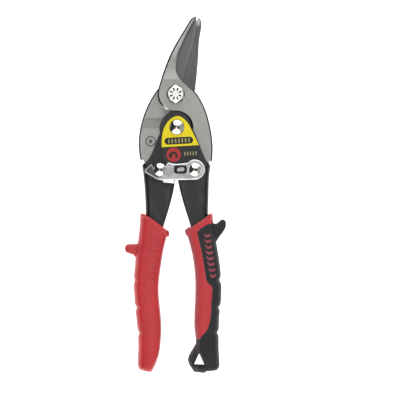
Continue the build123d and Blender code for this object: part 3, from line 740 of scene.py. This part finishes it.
def raised_bar(name, ends, width, low, high, material, body):
    """Rounded raised bar between two points in millimetres."""
    start, end = np.array(ends[0]), np.array(ends[1])
    ahead = (end - start) / np.linalg.norm(end - start)
    side = np.array([-ahead[1], ahead[0]])
    outline = []
    for angle in np.linspace(90, 270, 9):
        turn = math.radians(angle)
        outline.append(start + width / 2 * (math.cos(turn) * ahead + math.sin(turn) * side))
    for angle in np.linspace(-90, 90, 9):
        turn = math.radians(angle)
        outline.append(end + width / 2 * (math.cos(turn) * ahead + math.sin(turn) * side))
    bar = prism(name, [(x * MM, y * MM) for x, y in outline], low, high)
    bevel = min(0.2, 0.45 * (high - low) / MM) * MM
    apply_modifier(bar, "BEVEL", width=bevel, segments=3, limit_method="ANGLE")
    shade_smooth(bar, 40)
    return finish_piece(bar, material, body)


def cover_cut(line):
    """Closed outline, in metres, of everything on the black side of the border."""
    border = curve_through(line, 120)
    around = [(16.9, -101.5), (4.0, -102.5), (4.0, -130.0), (40.0, -130.0), (40.0, -10.0), (27.2, -18.6)]
    return [(x * MM, y * MM) for x, y in list(border) + around]


BORDER = [
    (26.6, -19.0), (25.0, -20.0), (20.0, -22.4), (16.0, -25.4), (15.2, -26.8), (16.4, -33.0), (18.7, -43.0),
    (20.6, -54.0), (21.7, -60.4), (24.4, -63.2), (25.7, -66.0), (25.1, -76.0), (24.3, -87.0),
    (22.0, -94.4), (19.5, -97.6), (17.2, -100.3),
]


HOLE = [(16.0, -110.8), (16.8, -110.9), (20.5, -119.1), (20.1, -119.8), (12.9, -119.6), (12.4, -118.8)]
FLARE = 1.6                                     # how far the hole's bevel reaches out


def loop_cutter():
    """Cutter for the hanging hole, flared at both faces."""
    hole = np.array(HOLE)
    centre = hole.mean(axis=0)
    away = hole - centre
    wide = hole + away / np.linalg.norm(away, axis=1)[:, None] * 2.6
    layers = []
    for outline, level in ((wide, -13.0), (hole, -8.6 + FLARE / 2), (hole, 8.6 - FLARE / 2), (wide, 13.0)):
        layers.append([(x * MM, y * MM, MID + level * MM) for x, y in outline])
    return skin("loop_cutter", layers)


def right_grip():
    """Red core with a mouth rim, and the black cover moulded over it with its lug and hanging loop."""
    core = grip_body("right_grip_shell", CORE_OUTER, RIGHT_INNER, grip_half, (5.0, 7.0), (3.2, 6.5))
    # The core stops here; the cover alone makes the end of the grip.
    core_end, past_end, past_side, past_face = -0.101, -0.135, 0.04, 0.02
    corners = [(0.0, core_end), (past_side, core_end), (past_side, past_end), (0.0, past_end)]
    below = prism("core_cutter", corners, MID - past_face, MID + past_face)
    combine(core, below, "DIFFERENCE")
    rim = rim_and_lip([(24.7, -14.4), (20.0, -18.8), (14.0, -23.2), (7.8, -27.0)], 10.6, "right_rim")
    lip_outline = np.array(
        [(12.0, -22.8), (8.6, -23.6), (6.6, -25.2), (7.2, -28.3), (9.3, -29.6), (12.5, -30.0)]
    )
    lip = rounded_lug("right_lip", lip_outline, 9.0, 1.0)
    join(core, [rim, lip])
    melt(core, VOXEL, 4)

    cover = grip_body("right_cover_shell", RIGHT_OUTER, RIGHT_INNER, grip_half, (5.0, 7.0), (3.2, 6.5))
    points = points_of(cover)
    middle = np.array([0.022, -0.07, MID])
    points[:, 2] += np.sign(points[:, 2] - middle[2]) * 0.35 * MM * smooth_step(
        np.abs(points[:, 2] - middle[2]), 0.0, 0.004
    )
    set_points(cover, points)
    cutter = prism("cover_cutter", cover_cut(BORDER), MID - 0.02, MID + 0.02)
    combine(cover, cutter, "INTERSECT")
    lug = rounded_lug("right_lug", np.array(RIGHT_LUG), 6.5, 2.2)
    loop = rounded_lug("hang_loop", np.array([
        (14.2, -104.8), (12.2, -108.2), (9.6, -112.4), (8.6, -115.6), (9.6, -119.0), (11.6, -121.8),
        (12.9, -123.8), (20.5, -124.6), (24.0, -116.0), (20.0, -106.0),
    ]), 9.0, 3.2)
    join(cover, [lug, loop])
    apply_modifier(cover, "REMESH", mode="VOXEL", voxel_size=VOXEL * MM, adaptivity=0.0)
    combine(cover, loop_cutter(), "DIFFERENCE")
    melt(cover, VOXEL, 3)
    finish_piece(core, RED_SHEEN, "right_handle")
    finish_piece(cover, BLACK_RUBBER, "right_handle")
    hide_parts("right_grip_core")
    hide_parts("right_grip_cover")
    return cover


def left_ribs(grip):
    """Column of plain raised ribs down the left grip."""
    height = top_height(grip)
    for index in range(9):
        share = index / 8
        x, y = -14.3 - 3.6 * share, -30.5 - 30.0 * share
        lift = height(x * MM, y * MM)
        raised_bar(
            f"left_rib_{index}", [(x - 2.7, y + 0.35), (x + 2.7, y - 0.35)], 1.5,
            lift - 0.0006, lift + 0.00045, RED_PLASTIC, "left_handle",
        )


def cover_chevrons(cover):
    """Column of muted red chevrons down the black cover."""
    height = top_height(cover)
    for index in range(8):
        share = index / 7
        x, y = 21.4 + 4.0 * share, -28.6 - 28.0 * share
        lift = height(x * MM, y * MM)
        outline = [
            (x - 2.6, y + 1.7), (x + 0.1, y + 0.3), (x + 2.7, y + 1.3),
            (x + 2.9, y - 0.7), (x + 0.3, y - 1.7), (x - 2.4, y - 0.3),
        ]
        chevron = prism(
            f"cover_chevron_{index}", [(a * MM, b * MM) for a, b in outline], lift - 0.0008, lift + 0.00012
        )
        apply_modifier(chevron, "BEVEL", width=0.08 * MM, segments=2, limit_method="ANGLE")
        shade_smooth(chevron, 40)
        finish_piece(chevron, RED_MARK, "right_handle")


left_ribs(left_grip())
cover_chevrons(right_grip())


# =====================================================================
# Opening spring
# =====================================================================
def opening_spring():
    """Compression coil between the jaw tails, closed at both ends."""
    low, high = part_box("opening_spring")
    axis_y, axis_z = (low.y + high.y) / 2, (low.z + high.z) / 2
    wire = 0.5 * MM
    radius = (high.y - low.y) / 2 - wire
    turns, steps = 11, 36
    path = []
    for step in range(turns * steps + 1):
        t = step / (turns * steps)
        squeezed = t + 0.045 * math.sin(2 * math.pi * t)
        angle = 2 * math.pi * step / steps
        x = low.x + wire + (high.x - low.x - 2 * wire) * squeezed
        path.append(Vector((x, axis_y + radius * math.cos(angle), axis_z + radius * math.sin(angle))))
    around = 10
    vertices, faces = [], []
    for index, point in enumerate(path):
        ahead = (path[min(index + 1, len(path) - 1)] - path[max(index - 1, 0)]).normalized()
        outward = Vector((0, point.y - axis_y, point.z - axis_z)).normalized()
        side = ahead.cross(outward).normalized()
        outward = side.cross(ahead)
        for k in range(around):
            angle = 2 * math.pi * k / around
            vertices.append(point + wire * (math.cos(angle) * outward + math.sin(angle) * side))
    for row in range(len(path) - 1):
        for k in range(around):
            a, b = row * around + k, row * around + (k + 1) % around
            faces.append((a, b, b + around, a + around))
    faces += [tuple(range(around)), tuple(range(len(vertices) - around, len(vertices)))]
    coil = mesh_object("spring_coil", vertices, faces)
    coil.data.materials.append(DARK_STEEL)
    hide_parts("opening_spring")
    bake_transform(coil)


opening_spring()


# =====================================================================
# Printed marks
# =====================================================================
def tilted(point, centre, angle):
    """Point turned about a centre, in degrees."""
    c, s = math.cos(math.radians(angle)), math.sin(math.radians(angle))
    x, y = point[0] - centre[0], point[1] - centre[1]
    return (centre[0] + c * x - s * y, centre[1] + s * x + c * y)


def label_marks():
    """Black bar on the label with a plain row of dashes, and a dashed size mark below."""
    centre, tilt = (2.2, 37.4), 3
    ink = 0.06 * MM
    raised_bar(
        "label_bar", [tilted((-5.4, 37.4), centre, tilt), tilted((9.8, 37.4), centre, tilt)], 4.8,
        LABEL_TOP, LABEL_TOP + ink, BLACK_INK, "right_handle",
    )
    for index in range(7):
        x = -4.8 + 2.35 * index
        raised_bar(
            f"label_dash_{index}", [tilted((x, 36.4), centre, tilt), tilted((x, 38.4), centre, tilt)], 1.15,
            LABEL_TOP + ink, LABEL_TOP + 2 * ink, PALE_INK, "right_handle",
        )
    for index in range(5):
        x = 6.4 + 1.95 * index
        raised_bar(
            f"size_dash_{index}", [(x, 27.4 + 0.1 * index), (x, 29.2 + 0.1 * index)], 0.9,
            PLATE_TOP, PLATE_TOP + ink, PALE_INK, "right_handle",
        )


def badge_mark():
    """Curved arrow on the badge: the snips cut a curve to the left."""
    centre = (BADGE.x / MM, BADGE.y / MM)
    top = BADGE_HIGH.z

    def arc(radius, first, last):
        """Points along an arc a little below and left of the badge's centre."""
        turns = [math.radians(angle) for angle in np.linspace(first, last, 22)]
        return [
            (centre[0] + radius * math.cos(t) - 0.2, centre[1] + radius * math.sin(t) - 0.8) for t in turns
        ]

    outline = arc(3.0, -40, 150)
    tail = arc(1.5, 150, -40)
    arrow_head = [(centre[0] + x, centre[1] + y) for x, y in ((-3.9, 0.5), (-2.6, -3.0), (-0.4, -0.3))]
    mark = prism(
        "badge_mark", [(x * MM, y * MM) for x, y in outline + arrow_head + tail], top, top + 0.06 * MM
    )
    finish_piece(mark, BLACK_INK, "right_handle")


def ring_mark():
    """Cast ring with a plain stud on the back jaw's tail, both painted dark as the shade round their raised
    walls.
    """
    centre = np.array([-17.5, 37.0])
    count, outer, inner = 48, 3.7, 2.9
    vertices, faces = [], []
    for k in range(count):
        angle = 2 * math.pi * k / count
        way = np.array([math.cos(angle), math.sin(angle)])
        for radius, lift in ((outer, -0.05), (outer - 0.15, 0.22), (inner + 0.15, 0.22), (inner, -0.05)):
            x, y = centre + radius * way
            vertices.append((x * MM, y * MM, TAIL_TOP + lift * MM))
    for k in range(count):
        for j in range(4):
            a, b = 4 * k + j, 4 * k + (j + 1) % 4
            c, d = 4 * ((k + 1) % count) + (j + 1) % 4, 4 * ((k + 1) % count) + j
            faces.append((a, b, c, d))
    ring = mesh_object("tail_ring", vertices, faces)
    shade_smooth(ring, 35)
    finish_piece(ring, CAST_MARK_SHADE, "lower_jaw")
    corners = [(-18.9, 37.0), (-17.5, 38.9), (-16.1, 37.0), (-17.5, 35.1)]
    outline = [(x * MM, y * MM) for x, y in corners]
    stud = prism("tail_stud", outline, TAIL_TOP - 0.05 * MM, TAIL_TOP + 0.22 * MM)
    finish_piece(stud, CAST_MARK_SHADE, "lower_jaw")


label_marks()
badge_mark()
ring_mark()


# =====================================================================
# Floor, light and camera
# =====================================================================
def studio_world():
    """Light tent: bright overhead and towards +Y and -Y, dark flags along both sides."""
    world = bpy.data.worlds.new("studio")
    bpy.context.scene.world = world
    world.use_nodes = True
    tree = world.node_tree
    background = tree.nodes["Background"]
    parts = tree.nodes.new("ShaderNodeSeparateXYZ")
    tree.links.new(tree.nodes.new("ShaderNodeTexCoord").outputs["Generated"], parts.inputs[0])

    def calculate(operation, *values):
        node = tree.nodes.new("ShaderNodeMath")
        node.operation = operation
        for index, value in enumerate(values):
            if isinstance(value, (int, float)):
                node.inputs[index].default_value = value
            else:
                tree.links.new(value, node.inputs[index])
        return node.outputs[0]

    def step(value, low, high, level):
        node = tree.nodes.new("ShaderNodeMapRange")
        node.interpolation_type = "SMOOTHSTEP"
        node.inputs["From Min"].default_value = low
        node.inputs["From Max"].default_value = high
        node.inputs["To Max"].default_value = level
        tree.links.new(value, node.inputs["Value"])
        return node.outputs["Result"]

    def turned(share_x, share_y):
        across = calculate("MULTIPLY", parts.outputs["X"], share_x)
        return calculate("ADD", across, calculate("MULTIPLY", parts.outputs["Y"], share_y))

    turn = math.radians(13)
    sideways = calculate("ABSOLUTE", turned(math.cos(turn), -math.sin(turn)))
    lengthways = calculate("ABSOLUTE", turned(math.sin(turn), math.cos(turn)))
    wedge = calculate("SUBTRACT", lengthways, calculate("MULTIPLY", sideways, 1.6))
    tent = calculate("ADD", step(wedge, -0.22, -0.04, OVERHEAD), step(wedge, 0.0, 0.4, 0.40))
    right_glow = step(parts.outputs["X"], 0.25, 0.55, 0.30)
    horizon = step(sideways, 0.84, 0.95, 0.42)
    level = calculate("ADD", calculate("ADD", calculate("ADD", tent, right_glow), horizon), 0.03)
    tree.links.new(level, background.inputs["Strength"])
    background.inputs["Color"].default_value = (1.0, 1.0, 0.99, 1)


OVERHEAD = 1.17                                 # brightness straight above
FLOOR = -0.6 * MM                               # just below the lowest point of the grips


def studio():
    """Pale sweep, soft overhead light and a camera that looks straight down."""
    floor = mesh_object(
        "studio_floor", [(-1.5, -1.5, FLOOR), (1.5, -1.5, FLOOR), (1.5, 1.5, FLOOR), (-1.5, 1.5, FLOOR)],
        [(0, 1, 2, 3)],
    )
    floor.data.materials.append(floor_paper())
    for name, place, size, power, aim in (
        ("key", (-0.20, 0.90, 0.90), 0.9, 3.5, (0, 0, 0)),
        ("fill", (0.20, -0.80, 0.90), 0.9, 2.5, (0, 0, 0)),
    ):
        data = bpy.data.lights.new(name, "AREA")
        data.size = size
        data.energy = power
        lamp = bpy.data.objects.new(name, data)
        lamp.location = place
        lamp.rotation_euler = (Vector(aim) - Vector(place)).to_track_quat("-Z", "Y").to_euler()
        bpy.context.scene.collection.objects.link(lamp)
    studio_world()
    bpy.context.scene.view_settings.view_transform = "Standard"

    view_width, distance = 0.280, 2.2
    view_x, view_y = 0.01696, -0.0040
    data = bpy.data.cameras.new("camera")
    data.sensor_width = 36.0
    data.lens = 36.0 * distance / view_width
    data.clip_end = 10
    camera = bpy.data.objects.new("camera", data)
    camera.location = (view_x, view_y, MID + distance)
    bpy.context.scene.collection.objects.link(camera)
    bpy.context.scene.camera = camera


studio()
